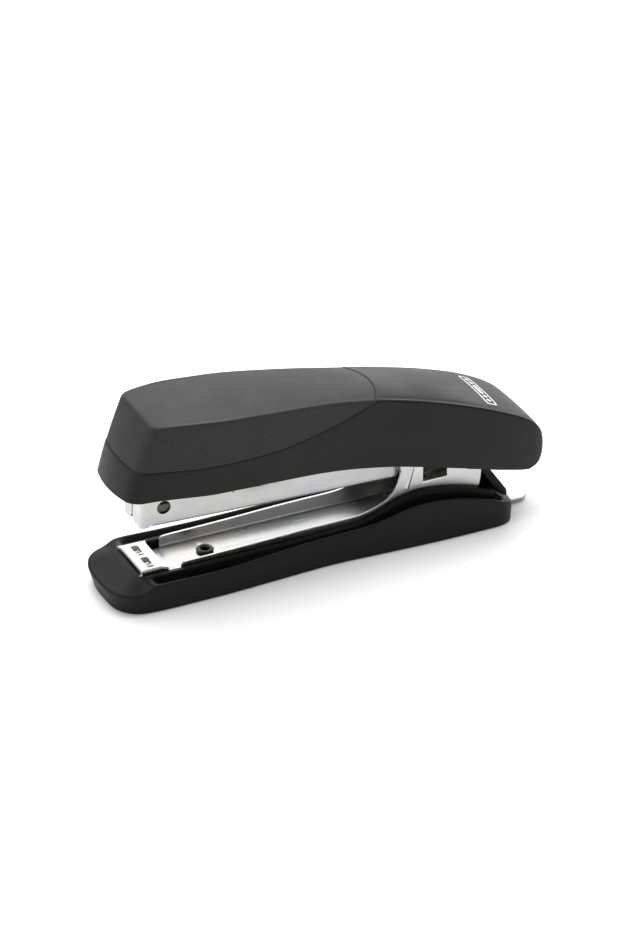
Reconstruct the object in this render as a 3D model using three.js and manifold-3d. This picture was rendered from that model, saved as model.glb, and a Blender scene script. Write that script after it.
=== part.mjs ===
// Desk stapler: pressed steel base channel and magazine in a plastic base shell and cover.
// Millimetres, +Z up, nose towards -X. The origin is on the table under the middle of the stapler.
import * as THREE from 'three';
import Module from 'manifold-3d';
import { mergeVertices } from 'three/addons/utils/BufferGeometryUtils.js';

const wasm = await Module();
wasm.setup();

// ---------- driving dimensions ----------
const gap = 0.35;                 // clearance between neighbouring pieces
const sheet = 0.8;                // pressed steel thickness
const pivot = { x: 54, z: 32 };   // axis that carries the magazine and the handle
const pinRadius = 2.0;
const holeRadius = pinRadius + gap;
const magazineTilt = THREE.MathUtils.degToRad(2.2);

const channelHalfWidth = 9.9;
const channelFloor = { bottom: 7.85, top: 8.65 };
const deck = { bottom: 5.4, top: 7.5 };      // plastic floor that carries the channel
const anvilTop = 12.5;

const magazine = { nose: -122.75, halfWidth: 7.5, bottom: -9, top: 3.5, floorEnd: -28 };
const railHalfWidth = 5.5;
const rodHeight = magazine.bottom + 3.4;
const stapleCrown = magazine.bottom + 7.6;
const slotRear = magazine.nose + 2.4;        // front of the rail and of the staples
const stapleStripLength = 32;
const pusherLength = 14;
const bracketFront = -19.8;

const armHalfWidth = 8.7;
const coverWall = 2.4;
const panelThickness = 1.0;

// ---------- finishes ----------
const finish = (color, roughness, metalness) => () =>
  new THREE.MeshStandardMaterial({ color, roughness, metalness });
const blackPlastic = finish(0x242423, 0.45, 0);
const greyPlastic = finish(0x4a4d4b, 0.6, 0);
const zincSteel = finish(0xc9cac8, 0.28, 1);
const springSteel = finish(0x6f675d, 0.4, 1);
const blackOxide = finish(0x1b1b1b, 0.4, 0.6);
const stapleWire = finish(0xb9bcc0, 0.3, 1);

// ---------- solids ----------
function solid(geometry) {
  geometry.deleteAttribute('normal');
  geometry.deleteAttribute('uv');
  const merged = mergeVertices(geometry, 1e-4);
  return new wasm.Manifold(new wasm.Mesh({
    numProp: 3,
    vertProperties: new Float32Array(merged.attributes.position.array),
    triVerts: new Uint32Array(merged.index.array),
  }));
}

function mesh(name, manifold, material) {
  const data = manifold.getMesh();
  const geometry = new THREE.BufferGeometry();
  geometry.setAttribute('position', new THREE.BufferAttribute(new Float32Array(data.vertProperties), 3));
  geometry.setIndex(new THREE.BufferAttribute(new Uint32Array(data.triVerts), 1));
  geometry.computeVertexNormals();
  const result = new THREE.Mesh(geometry, material());
  result.name = name;
  return result;
}

const points = (list) => list.map(([x, y]) => new THREE.Vector2(x, y));
const curve = (list, count) => new THREE.SplineCurve(points(list)).getPoints(count);

function extrude(outline, depth) {
  return new THREE.ExtrudeGeometry(new THREE.Shape(outline), { depth, bevelEnabled: false });
}

// A side outline (x, z) made thick across the stapler, from y0 to y1.
function acrossY(outline, y0, y1) {
  return solid(extrude(outline, y1 - y0).rotateX(Math.PI / 2).translate(0, y1, 0));
}

// A plan outline (x, y) made thick upwards, from z0 to z1.
function upZ(outline, z0, z1) {
  return solid(extrude(outline, z1 - z0).translate(0, 0, z0));
}

// A cross-section (y, z) made long along the stapler, from x0 to x1.
function alongX(outline, x0, x1) {
  const turn = new THREE.Matrix4().makeBasis(
    new THREE.Vector3(0, 1, 0), new THREE.Vector3(0, 0, 1), new THREE.Vector3(1, 0, 0));
  return solid(extrude(outline, x1 - x0).applyMatrix4(turn).translate(x0, 0, 0));
}

function box(x0, x1, y0, y1, z0, z1) {
  const geometry = new THREE.BoxGeometry(x1 - x0, y1 - y0, z1 - z0);
  return solid(geometry.translate((x0 + x1) / 2, (y0 + y1) / 2, (z0 + z1) / 2));
}

function cylinderX(radius, x0, x1, y, z, sides = 16) {
  const geometry = new THREE.CylinderGeometry(radius, radius, x1 - x0, sides);
  return solid(geometry.rotateZ(Math.PI / 2).translate((x0 + x1) / 2, y, z));
}

function cylinderY(radius, y0, y1, x, z, sides = 24) {
  const geometry = new THREE.CylinderGeometry(radius, radius, y1 - y0, sides);
  return solid(geometry.translate(x, (y0 + y1) / 2, z));
}

function cylinderZ(radius, z0, z1, x, y, sides = 16) {
  const geometry = new THREE.CylinderGeometry(radius, radius, z1 - z0, sides);
  return solid(geometry.rotateX(Math.PI / 2).translate(x, y, (z0 + z1) / 2));
}

const union = (list) => list.reduce((sum, piece) => sum.add(piece));

// The same wall outline on both sides of the stapler.
function bothSides(outline, inner, outer) {
  return union([acrossY(outline, inner, outer), acrossY(outline, -outer, -inner)]);
}

// A half plan outline (x, half width) closed by its mirror image.
function mirrored(half) {
  const far = half.filter((p) => p.y > 1e-6).map((p) => new THREE.Vector2(p.x, -p.y));
  return [...half, ...far.reverse()];
}

// Moves every point of a run of points sideways, to the right of its direction of travel.
// Points that a tight corner would fold over are left out.
function inset(run, distance) {
  const moved = run.map((point, i) => {
    const before = run[Math.max(i - 1, 0)];
    const after = run[Math.min(i + 1, run.length - 1)];
    const along = after.clone().sub(before).normalize();
    return new THREE.Vector2(point.x + along.y * distance, point.y - along.x * distance);
  });
  return moved.filter((point) => run.every((other) => other.distanceTo(point) >= 0.97 * Math.abs(distance)));
}

// ---------- base ----------
const baseHalfPlan = [
  ...curve([[-82.5, 0], [-82.1, 5], [-81, 9.4], [-79, 14], [-76.6, 16.4], [-73, 17.2], [-58, 17.3],
    [-42, 17.2], [-22, 16.3], [0, 15.4], [20, 16.6], [40, 17.3], [60, 17.2]], 36),
  ...curve([[65.5, 16.6], [69.2, 14], [70.3, 10]], 5),
  new THREE.Vector2(70.3, 0),
];
const lipProfile = curve([[-70.5, 11.2], [-45, 11.2], [-20, 11.2], [0, 11.7], [12, 12.6], [20, 14.8],
  [27, 18], [33, 19.2], [40, 18.8], [50, 16.9], [60, 13.8], [66.5, 10.2], [70.3, 7]], 26);
const noseProfile = curve([[-82.5, 5], [-82, 7.2], [-79.6, 8.4], [-74.5, 10], [-70.5, 11.2]], 8);
const rimProfile = curve([[-75, 8.4], [-71, 8.8], [-67, 10.1], [-40, 9.8], [-28, 10.5], [-14, 11.5],
  [6, 12], [16, 13.2], [24, 15.5], [32, 16.6], [40, 16.6], [50, 15], [60, 11.8], [70.3, 6.4]], 28);

function baseShell() {
  const top = 40;
  const side = [...noseProfile, ...lipProfile.slice(1), ...points([[70.3, 0], [-82.5, 0]])];
  const outer = upZ(mirrored(baseHalfPlan), 0, top).intersect(acrossY(side, -20, 20));
  const lipHalfWidth = 12.3;
  const rimWidth = 1.2;
  const grooveDepth = 3;
  const above = (drop) => [...rimProfile.map((p) => new THREE.Vector2(p.x, p.y - drop)),
    ...points([[70.3, top], [-75, top]])];
  const overRim = bothSides(above(0), lipHalfWidth, 20);
  const grooveHalfPlan = inset(baseHalfPlan, rimWidth).filter((p) => p.x > -66 && p.x < 64);
  const grooveOutline = [...grooveHalfPlan, ...points([[64, lipHalfWidth], [-66, lipHalfWidth]])];
  const mirroredGroove = grooveOutline.map((p) => new THREE.Vector2(p.x, -p.y));
  const groove = union([upZ(grooveOutline, 0, top), upZ(mirroredGroove, 0, top)])
    .intersect(acrossY(above(grooveDepth), -20, 20));
  const channelPocket = box(-70.4, 59, -channelHalfWidth - gap, channelHalfWidth + gap, deck.top, top);
  const rearPocket = box(58, 62, -8.8, 8.8, deck.top, top);
  const wall = 2.2;
  const hollowPlan = inset(baseHalfPlan, wall).filter((p) => p.y > 0 && p.x < 68);
  const hollow = upZ(mirrored([new THREE.Vector2(-80, 0), ...hollowPlan, new THREE.Vector2(68, 0)]),
    -1, deck.bottom);
  const hollowRoom = acrossY(points([[-82, -1], [-82, 3], [-76, deck.bottom], [66, deck.bottom],
    [68, 4], [68, -1]]), -20, 20);
  const backStop = acrossY(points([[58.6, 22], [60.6, 22.6], [70.3, 8.4], [70.3, 5], [66.5, 5],
    [66.5, 9.6]]), -8.4, 8.4);
  const tongueSlot = box(60, 75, -5, 5, -1, 2.35);
  const eyeletHoles = union(eyeletPlaces.map((x) => cylinderZ(holeRadius, 0, top, x, 0)));
  return outer.subtract(overRim).subtract(groove).subtract(channelPocket).subtract(rearPocket)
    .subtract(hollow.intersect(hollowRoom)).add(backStop).subtract(tongueSlot).subtract(eyeletHoles);
}

const eyeletPlaces = [-42.2, 44];

// Front edge, ear and pivot seat of the pressed channel, as one wall outline.
function earOutline() {
  const pivotSeat = new THREE.Path().absarc(pivot.x, pivot.z, 6, THREE.MathUtils.degToRad(100),
    THREE.MathUtils.degToRad(-20), true).getPoints(8);
  return [
    ...points([[-55.3, channelFloor.bottom], [-55.3, 12]]),
    ...points([[-54.8, 12.5], [-30, 13], [-8, 13.6], [10, 13.8]]),
    ...curve([[14, 14.3], [19, 15.9], [23.4, 18.3], [26.2, 21.4], [27.3, 25.4], [27.3, 30]], 10),
    ...points([[31, 34.5]]),
    ...pivotSeat,
    ...curve([[60.6, 24], [60.6, 20.4], [58.6, 18.2], [57.6, 14], [57.6, channelFloor.bottom]], 8),
  ];
}

function baseChannel() {
  const inner = channelHalfWidth - sheet;
  const floor = box(-60.2, 57.6, -channelHalfWidth, channelHalfWidth, channelFloor.bottom, channelFloor.top);
  const walls = bothSides(earOutline(), inner, channelHalfWidth);
  const window = bothSides(points([[36.3, 21.6], [45.7, 21.6], [45.7, 27.5], [36.3, 27.5]]), 8, 11);
  const ribOutline = points([[29.4, 20.6], [30.7, 20.4], [33.3, 32], [32, 32.2]]);
  const rib = bothSides(ribOutline, channelHalfWidth - 0.1, channelHalfWidth + gap);
  const springTab = box(34, 34.8, -3, 3, channelFloor.top - 0.1, 22.4);
  const pivotHoles = cylinderY(holeRadius, -12, 12, pivot.x, pivot.z);
  const eyeletHoles = union(eyeletPlaces.map((x) => cylinderZ(holeRadius, 0, 20, x, 0)));
  return floor.add(walls).add(rib).add(springTab).subtract(window).subtract(pivotHoles)
    .subtract(eyeletHoles);
}

function anvilPlate() {
  const halfWidth = 9.6;
  const plate = box(-70, -60.6, -halfWidth, halfWidth, anvilTop - 1.1, anvilTop);
  const skirts = [[-70, -69.2], [-61.4, -60.6]].map(([x0, x1]) =>
    box(x0, x1, -halfWidth, halfWidth, deck.top + gap, anvilTop - 1));
  const pockets = [[-7, -1.2], [1.2, 7]].map(([y0, y1]) => {
    const dish = [[y0, anvilTop + 0.1], [y0 + 0.9, anvilTop - 0.6], [y1 - 0.9, anvilTop - 0.6],
      [y1, anvilTop + 0.1]];
    return alongX(points(dish), -68.3, -66.1);
  });
  return union([plate, ...skirts]).subtract(union(pockets));
}

// A pressed eyelet that clamps the channel to the plastic deck.
function eyelet(x) {
  const flange = { low: deck.bottom - gap - 0.9, high: channelFloor.top + gap };
  const ring = [[1.4, flange.low], [3, flange.low], [3, flange.low + 0.9], [pinRadius, flange.low + 0.9],
    [pinRadius, flange.high], [3, flange.high], [2.8, flange.high + 0.9], [1.4, flange.high + 0.9],
    [1.4, flange.low]];
  return solid(new THREE.LatheGeometry(points(ring), 20).rotateX(Math.PI / 2).translate(x, 0, 0));
}

function removerTongue() {
  const tip = new THREE.Path().absellipse(77.9, 0, 4, 4.4, Math.PI / 2, -Math.PI / 2, true).getPoints(10);
  const outline = [...points([[40.5, -4.4], [40.5, 4.4]]), ...tip];
  return upZ(outline, 1.1, 2).subtract(cylinderZ(3.4, 0, 4, eyeletPlaces[1], 0));
}

function pivotPin() {
  const head = channelHalfWidth + gap;
  return union([
    cylinderY(pinRadius, -head - 0.5, head + 0.5, pivot.x, pivot.z),
    cylinderY(3.2, head, head + 1, pivot.x, pivot.z),
    cylinderY(3.2, -head - 1, -head, pivot.x, pivot.z),
  ]);
}

// Hooked from the channel's tab to the magazine's bracket, it lifts the nose.
function returnSpring() {
  const height = 21.4;
  return cylinderX(2, 38.4, 46.2, 0, height).add(cylinderX(0.6, 35.2, 48.3, 0, height, 8));
}

// ---------- magazine, in its own frame: origin on the pivot axis, x along the magazine ----------
function magazineChannel() {
  const { nose, halfWidth, bottom, top, floorEnd } = magazine;
  const pivotEnd = new THREE.Path().absarc(0, 0, 5.5, THREE.MathUtils.degToRad(80),
    THREE.MathUtils.degToRad(-50), true).getPoints(8);
  const wall = [
    ...points([[nose, bottom], [floorEnd, bottom]]),
    ...curve([[floorEnd, bottom], [-26.6, -8.4], [-26, -7]], 3).slice(1),
    ...points([[-26, -4.2]]),
    ...pivotEnd.reverse(),
    ...points([[-14, top], [nose, top]]),
  ];
  const walls = bothSides(wall, halfWidth - sheet + 0.1, halfWidth);
  const floor = box(slotRear + 0.5, floorEnd, -halfWidth, halfWidth, bottom, bottom + sheet);
  const cornerRadius = 2.2;
  const cheek = (side) => alongX([
    ...points([[side * halfWidth, bottom], [side * halfWidth, top], [side * gap, top]]),
    ...points([[side * gap, bottom + cornerRadius], [side * (gap + 0.7), bottom + 0.7],
      [side * (gap + cornerRadius), bottom]]),
  ], nose, nose + sheet);
  const sideHoles = cylinderY(2.5, -12, 12, -114.4, bottom + 6.8, 20);
  const pivotHoles = cylinderY(holeRadius, -12, 12, 0, 0);
  return union([walls, floor, cheek(1), cheek(-1)]).subtract(sideHoles).subtract(pivotHoles);
}

function stapleRail() {
  const foot = magazine.bottom + sheet + 0.3;
  const top = magazine.bottom + 6.7;
  const inner = railHalfWidth - sheet;
  const section = points([[-railHalfWidth, foot], [-railHalfWidth, top], [railHalfWidth, top],
    [railHalfWidth, foot], [inner, foot], [inner, top - sheet], [-inner, top - sheet], [-inner, foot]]);
  const pusherSlot = box(slotRear + 8, bracketFront - 6, -1.2, 1.2, top - 2, top + 1);
  return alongX(section, slotRear, bracketFront - gap).subtract(pusherSlot);
}

function stapleStrip() {
  const outer = 6.4;
  const inner = 5.9;
  const foot = magazine.bottom + sheet + 0.35;
  const section = points([[-outer, foot], [-outer, stapleCrown], [outer, stapleCrown], [outer, foot],
    [inner, foot], [inner, stapleCrown - 0.5], [-inner, stapleCrown - 0.5], [-inner, foot]]);
  return alongX(section, slotRear, slotRear + stapleStripLength);
}

const pusherFront = slotRear + stapleStripLength + gap;
const pusherRear = pusherFront + pusherLength;

function pusher() {
  const outer = 6.4;
  const plateBottom = magazine.bottom + 7.1;
  const plateTop = plateBottom + 1.1;
  const bossX = pusherRear - 5;
  return union([
    box(pusherFront, pusherRear, -outer, outer, plateBottom, plateTop),
    box(pusherFront, pusherRear, 5.85, outer, magazine.bottom + 1.6, plateBottom + 0.1),
    box(pusherFront, pusherRear, -outer, -5.85, magazine.bottom + 1.6, plateBottom + 0.1),
    box(bossX, pusherRear, -0.8, 0.8, rodHeight, plateBottom + 0.1),
    cylinderX(1.9, bossX, pusherRear, 0, rodHeight),
    box(pusherFront + 5, pusherFront + 8, -3, 3, plateTop - 0.1, plateTop + 2.4),
  ]).subtract(cylinderX(1.15, bossX - 1, pusherRear + 1, 0, rodHeight, 12));
}

function guideRod() {
  return union([
    cylinderX(0.8, slotRear + 4, bracketFront + 2.9, 0, rodHeight, 12),
    cylinderX(1.6, bracketFront + 1.6, bracketFront + 2.9, 0, rodHeight, 12),
  ]);
}

function pusherSpring() {
  const coil = cylinderX(1.9, pusherRear + gap, bracketFront - gap, 0, rodHeight);
  return coil.subtract(cylinderX(1.15, pusherRear, bracketFront, 0, rodHeight, 12));
}

function rearBracket() {
  const halfWidth = 6.4;
  const strap = { bottom: 2.4, top: 3.2 };
  return union([
    box(bracketFront, bracketFront + 1.2, -halfWidth, halfWidth, -7.8, strap.top),
    box(bracketFront, -4.4, -halfWidth, halfWidth, strap.bottom, strap.top),
    box(-5.2, -4.4, -2.5, 2.5, -12.4, strap.top),
  ]).subtract(cylinderX(1.15, bracketFront - 1, bracketFront + 2, 0, rodHeight, 12));
}

// ---------- handle ----------
const armTopLine = [[-64, 53], [-20, 48.6], [20, 44], [48, 40.4]];

function handleArm() {
  const inner = armHalfWidth - sheet;
  const pivotEnd = new THREE.Path().absarc(pivot.x, pivot.z, 5.5, THREE.MathUtils.degToRad(50),
    THREE.MathUtils.degToRad(-120), true).getPoints(10);
  const side = [...points(armTopLine), ...pivotEnd,
    ...points([[40, 31.8], [20, 38], [-20, 43.4], [-64, 47.4]])];
  const outer = acrossY(side, -armHalfWidth, armHalfWidth);
  const under = [...points(armTopLine.map(([x, z]) => [x, z - sheet])),
    ...points([[62, 38], [62, 20], [-66, 20], [-66, 53.2 - sheet]])];
  const room = acrossY(under, -inner, inner);
  const frontNotch = box(-66, -63, -20, 20, 40, 46);
  const rivetHoles = union(rivetPlaces.map(([x, y]) => cylinderZ(1.5, 30, 60, x, y)));
  const pivotHoles = cylinderY(holeRadius, -12, 12, pivot.x, pivot.z);
  return outer.subtract(room).subtract(frontNotch).subtract(rivetHoles).subtract(pivotHoles);
}

const rivetPlaces = [[-57.5, 4], [-57.5, -4], [-16, 0]];
const armTop = (x) => {
  const after = armTopLine.findIndex(([px]) => px >= x);
  const [x0, z0] = armTopLine[after - 1];
  const [x1, z1] = armTopLine[after];
  return z0 + (z1 - z0) * (x - x0) / (x1 - x0);
};

// A bent blade: its tab is riveted under the arm and its edge hangs over the first staple.
function driverBlade() {
  const halfWidth = 6.3;
  const thickness = 0.7;
  const under = (x) => armTop(x) - sheet - gap;
  const edge = { x: -67.5, z: 36.1 };
  const lean = Math.tan(THREE.MathUtils.degToRad(3.4));
  const bend = { x: edge.x + (under(-63.9) - edge.z) * lean, z: under(-63.9) };
  const outline = points([[edge.x, edge.z], [bend.x, bend.z], [-52, under(-52)],
    [-52, under(-52) - thickness], [bend.x + thickness, bend.z - thickness], [edge.x + thickness, edge.z]]);
  const holes = rivetPlaces.slice(0, 2).map(([x, y]) => cylinderZ(1.5, 45, 60, x, y));
  return acrossY(outline, -halfWidth, halfWidth).subtract(union(holes));
}

function rivet([x, y]) {
  const low = armTop(x) - sheet - gap - 0.7 - gap;
  const high = armTop(x) + gap;
  return union([
    cylinderZ(1.15, low - 0.5, high + 0.3, x, y, 14),
    cylinderZ(2.1, low - 1, low - 0.1, x, y, 14),
    cylinderZ(2.1, high + 0.1, high + 1, x, y, 14),
  ]);
}

// A bent leaf riveted under the arm. Its free end stands on the magazine walls and lifts the handle.
function handleSpring() {
  const thickness = 0.6;
  const seat = (x) => armTop(x) - sheet - gap;
  const top = curve([[-10, seat(-10)], [-21, seat(-21)], [-27, 45.6], [-38, 41.9], [-46, 40.2],
    [-51, 40.6]], 14);
  const under = inset(top, -thickness).reverse();
  const [x, y] = rivetPlaces[2];
  return acrossY([...top, ...under], -7.2, 7.2).subtract(cylinderZ(1.5, 40, 60, x, y));
}

// Cover outlines. The side outline runs from the nose, over the top and round the tail.
const coverTop = [
  ...points([[-77.9, 42.6], [-73.6, 56]]),
  ...curve([[-68.6, 68.6], [-66.6, 70.2], [-50, 69.7], [-31, 68.2], [-11, 66], [9, 62.8], [29, 58.3],
    [49, 52.3], [65, 45.8], [75.5, 39.4], [80.6, 33.4], [82.5, 26.4], [80.4, 20.6], [75, 17.9]], 42),
];
const coverBottom = curve([[75, 17.9], [72, 20], [56, 24.8], [40, 28.9], [25, 32.7], [13, 35.2],
  [0, 37.4], [-14, 39], [-36, 40.6], [-51, 41], [-67, 41.5], [-77.9, 42.6]], 24).slice(1, -1);
const coverHalfPlan = [
  ...curve([[-77.9, 0], [-77.2, 7], [-75.3, 13]], 6),
  ...curve([[-73, 15], [-62, 16.6], [-50, 17.6], [-36, 18], [-22, 17.4], [-8, 16.2], [6, 15.2],
    [20, 14.9], [34, 15.2], [48, 15.8], [62, 16.2], [72, 15.8], [78.6, 14.2], [81.6, 11.4], [82.5, 7]], 34),
  new THREE.Vector2(82.5, 0),
];

// The cover's full outer form, drawn in by the given depth. Drawn-in forms run on down, open below.
function coverForm(depth) {
  const side = depth === 0
    ? [...coverTop, ...coverBottom]
    : [...inset(coverTop, depth), ...points([[75 - depth, 0], [-77.9 + depth, 0]])];
  const plan = mirrored(inset(coverHalfPlan, depth).map((p) => new THREE.Vector2(p.x, Math.max(p.y, 0))));
  return acrossY(side, -20, 20).intersect(upZ(plan, -5, 90));
}

// Everything above the seam between the black cover and its grey panel.
function aboveSeam(shift) {
  const seam = curve([[-90, 56.4], [-77, 54.2], [-65, 52.9], [-51, 51.7], [-37, 51.3], [-22, 51.6],
    [-14, 52.3], [-6, 53.5], [2, 55.1], [9.5, 57.3], [16.3, 60.8], [18.6, 64]], 26);
  const lifted = seam.map((p) => new THREE.Vector2(p.x - shift, p.y + shift));
  return acrossY([...lifted, ...points([[18.6 - shift, 90], [-90, 90]])], -20, 20);
}

function topCover() {
  const hollow = coverForm(coverWall);
  const panelSeat = aboveSeam(0).subtract(coverForm(panelThickness + 0.3));
  const shell = coverForm(0).subtract(panelSeat).subtract(hollow);
  const ribs = [-46, -2, 30].map((x) => {
    const rib = box(x, x + 1.6, -20, 20, armTop(x) - 3, 90).intersect(coverForm(coverWall - 0.3));
    return rib.subtract(box(x - 1, x + 3, -armHalfWidth - gap, armHalfWidth + gap, 0, armTop(x) + gap));
  });
  return union([shell, ...ribs]);
}

const coverPanel = () => coverForm(0).intersect(aboveSeam(0.3)).subtract(coverForm(panelThickness));

// ---------- assembly ----------
const stapler = new THREE.Group();
stapler.add(
  mesh('base_shell', baseShell(), blackPlastic),
  mesh('base_channel', baseChannel(), zincSteel),
  mesh('anvil_plate', anvilPlate(), zincSteel),
  mesh('front_eyelet', eyelet(eyeletPlaces[0]), blackOxide),
  mesh('rear_eyelet', eyelet(eyeletPlaces[1]), blackOxide),
  mesh('remover_tongue', removerTongue(), zincSteel),
  mesh('pivot_pin', pivotPin(), zincSteel),
  mesh('return_spring', returnSpring(), springSteel),
);

const magazineGroup = new THREE.Group();
magazineGroup.position.set(pivot.x, 0, pivot.z);
magazineGroup.rotation.y = magazineTilt;
magazineGroup.add(
  mesh('magazine_channel', magazineChannel(), zincSteel),
  mesh('staple_rail', stapleRail(), zincSteel),
  mesh('staple_strip', stapleStrip(), stapleWire),
  mesh('guide_rod', guideRod(), zincSteel),
  mesh('pusher_spring', pusherSpring(), springSteel),
  mesh('rear_bracket', rearBracket(), zincSteel),
  mesh('pusher', pusher(), blackOxide),
);
stapler.add(magazineGroup);

stapler.add(
  mesh('handle_arm', handleArm(), zincSteel),
  mesh('driver_blade', driverBlade(), springSteel),
  mesh('driver_rivet_left', rivet(rivetPlaces[0]), zincSteel),
  mesh('driver_rivet_right', rivet(rivetPlaces[1]), zincSteel),
  mesh('handle_spring', handleSpring(), springSteel),
  mesh('spring_rivet', rivet(rivetPlaces[2]), zincSteel),
  mesh('top_cover', topCover(), blackPlastic),
  mesh('cover_panel', coverPanel(), greyPlastic),
);

export default stapler;
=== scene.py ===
"""Desk stapler: moulded cover and base, pressed steel works, springs and staples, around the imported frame.

Shapes are worked out in millimetres in the frame's own axes: nose towards -X, up +Z, and the left and
right halves alike. The magazine's pieces are worked out along the magazine, from the pivot axis.
"""

import math

import bmesh
import bpy
from mathutils import Matrix, Vector
from mathutils.geometry import interpolate_bezier


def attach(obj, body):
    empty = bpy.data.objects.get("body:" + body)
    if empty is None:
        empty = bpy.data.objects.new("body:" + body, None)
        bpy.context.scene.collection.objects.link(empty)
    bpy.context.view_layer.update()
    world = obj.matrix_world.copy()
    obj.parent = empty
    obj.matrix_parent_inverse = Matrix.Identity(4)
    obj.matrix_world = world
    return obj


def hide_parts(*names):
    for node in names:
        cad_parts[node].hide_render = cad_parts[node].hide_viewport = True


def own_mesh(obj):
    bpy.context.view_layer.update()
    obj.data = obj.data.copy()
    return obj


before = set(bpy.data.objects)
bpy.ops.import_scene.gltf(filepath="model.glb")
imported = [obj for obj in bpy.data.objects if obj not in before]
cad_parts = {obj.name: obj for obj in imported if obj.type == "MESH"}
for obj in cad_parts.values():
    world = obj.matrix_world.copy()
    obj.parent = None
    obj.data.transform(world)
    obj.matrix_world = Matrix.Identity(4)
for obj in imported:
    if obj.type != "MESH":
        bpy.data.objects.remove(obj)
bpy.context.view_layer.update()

MM = 0.001                  # metres
PIVOT = Vector((54, 0, 32))
MAGAZINE_TILT = math.radians(2.2)
MAGAZINE = Matrix.Translation(PIVOT) @ Matrix.Rotation(MAGAZINE_TILT, 4, "Y")
SHEET = 0.8                 # thickness of the pressed steel
SMOOTH_BELOW = math.radians(38)


# ---------- smooth lines ----------
def mix(a, b, share):
    return a + (b - a) * share


def smooth(share):
    share = min(max(share, 0.0), 1.0)
    return share * share * (3 - 2 * share)


class Line:
    """A smooth line of values through (place, value) points, carried on straight past its ends."""

    def __init__(self, *points):
        self.at = [p[0] for p in points]
        self.value = [p[1] for p in points]
        last = len(points) - 1
        self.slope = []
        for i in range(len(points)):
            low, high = max(i - 1, 0), min(i + 1, last)
            rise = self.value[high] - self.value[low]
            self.slope.append(rise / (self.at[high] - self.at[low]))

    def __call__(self, place):
        if place <= self.at[0]:
            return self.value[0] + self.slope[0] * (place - self.at[0])
        if place >= self.at[-1]:
            return self.value[-1] + self.slope[-1] * (place - self.at[-1])
        i = next(n for n, at in enumerate(self.at) if at > place) - 1
        span = self.at[i + 1] - self.at[i]
        t = (place - self.at[i]) / span
        start, end = self.value[i], self.value[i + 1]
        leave, arrive = self.slope[i] * span, self.slope[i + 1] * span
        return (
            start * (1 + 2 * t) * (1 - t) ** 2
            + end * t * t * (3 - 2 * t)
            + leave * t * (1 - t) ** 2
            - arrive * t * t * (1 - t)
        )


class Route:
    """A smooth line through two-dimensional points, followed by the length from its first point."""

    def __init__(self, *points):
        lengths = [0.0]
        for (x0, y0), (x1, y1) in zip(points, points[1:]):
            lengths.append(lengths[-1] + math.hypot(x1 - x0, y1 - y0))
        self.length = lengths[-1]
        self.first = Line(*zip(lengths, (p[0] for p in points)))
        self.second = Line(*zip(lengths, (p[1] for p in points)))

    def __call__(self, length):
        return self.first(length), self.second(length)

    def normal(self, length):
        """Unit vector to the left of the way the line runs."""
        step = 0.01
        x0, y0 = self(length - step)
        x1, y1 = self(length + step)
        run = math.hypot(x1 - x0, y1 - y0)
        return -(y1 - y0) / run, (x1 - x0) / run

    def reach(self, x):
        """The length at which the line first gets to x, on a stretch where x grows."""
        low, high = 0.0, self.length
        for _ in range(30):
            middle = (low + high) / 2
            low, high = (middle, high) if self.first(middle) < x else (low, middle)
        return low


# ---------- mesh work ----------
def grid(bm, columns, rows, place):
    """Adds a sheet of columns by rows faces. place(column, row) gives each corner."""
    made = bmesh.ops.create_grid(bm, x_segments=columns, y_segments=rows, size=1)
    for vert in made["verts"]:
        column = round((vert.co.x + 1) / 2 * columns)
        row = round((vert.co.y + 1) / 2 * rows)
        vert.co = place(column, row)
    return made["verts"]


def whole(bm):
    """Adds the other half across the middle plane, joins the two and turns the faces outwards."""
    meeting = 0.004
    bmesh.ops.remove_doubles(bm, verts=bm.verts, dist=meeting)
    bmesh.ops.mirror(bm, geom=bm.verts[:] + bm.edges[:] + bm.faces[:], axis="Y", merge_dist=meeting)
    bmesh.ops.remove_doubles(bm, verts=bm.verts, dist=meeting)
    bmesh.ops.dissolve_degenerate(bm, edges=bm.edges, dist=0.0005)
    bmesh.ops.recalc_face_normals(bm, faces=bm.faces)
    middle = sum((v.co for v in bm.verts), Vector()) / len(bm.verts)
    facing = sum(f.normal.dot(f.calc_center_median() - middle) * f.calc_area() for f in bm.faces)
    if facing < 0:
        bmesh.ops.reverse_faces(bm, faces=bm.faces)


def shaped(name, bm):
    """The mesh as an object in the scene. The bmesh is used up."""
    mesh = bpy.data.meshes.new(name)
    bm.to_mesh(mesh)
    bm.free()
    made = bpy.data.objects.new(name, mesh)
    bpy.context.scene.collection.objects.link(made)
    return made


def discard(made):
    mesh = made.data
    bpy.data.objects.remove(made)
    bpy.data.meshes.remove(mesh)


def worked(bm, kind, **settings):
    """The mesh after a modifier of a kind, with its settings."""
    blank = shaped("blank", bm)
    modifier = blank.modifiers.new(kind, kind)
    for key, value in settings.items():
        setattr(modifier, key, value)
    evaluated = blank.evaluated_get(bpy.context.evaluated_depsgraph_get())
    result = bmesh.new()
    result.from_mesh(evaluated.to_mesh())
    evaluated.to_mesh_clear()
    discard(blank)
    return result


def thickened(bm, thickness):
    """A sheet given its thickness on the inside of its faces."""
    return worked(bm, "SOLIDIFY", thickness=thickness, offset=-1)


def cut(bm, *cutters):
    """The mesh with the cutters' solids taken out of it."""
    for cutter in cutters:
        tool = shaped("cutter", cutter)
        bm = worked(bm, "BOOLEAN", object=tool, operation="DIFFERENCE", solver="EXACT")
        discard(tool)
    return bm


def rounded(bm, radius, sharper_than=40):
    """Rounds the edges that turn by more than an angle in degrees."""
    limit = math.radians(sharper_than)
    edges = [e for e in bm.edges if e.is_manifold and e.calc_face_angle(0) > limit]
    bmesh.ops.bevel(bm, geom=edges, offset=radius, offset_type="OFFSET", affect="EDGES",
                    segments=2, profile=0.5, material=-1, clamp_overlap=True)
    return bm


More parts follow.
